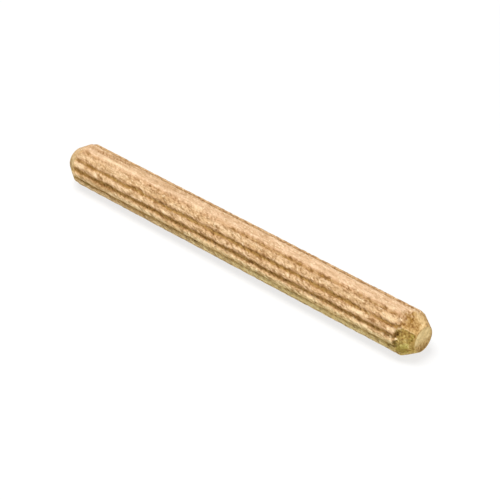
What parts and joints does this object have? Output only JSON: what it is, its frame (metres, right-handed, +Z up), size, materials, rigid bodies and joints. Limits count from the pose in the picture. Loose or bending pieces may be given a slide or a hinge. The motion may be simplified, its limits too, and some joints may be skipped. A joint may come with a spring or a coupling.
{
  "type": "dowel pin",
  "caption": "Fluted wooden dowel pin with conical bevelled ends, glued into matching round holes to join two boards.",
  "frame": {"origin": "middle of the pin, on its axis", "axes": "+X along the pin towards the end with the torn ridges, +Z up as it lies on two ridges, with one flute straight up"},
  "size_m": [0.08, 0.008, 0.008],
  "materials": {
    "dowel_pin": "bare pale beech, matt, with pressed flutes, two of them shallow, torn fibres and fine darker flecks"
  },
  "bodies": {
    "root": {"dowel_pin": "dowel_pin"}
  },
  "joints": []
}
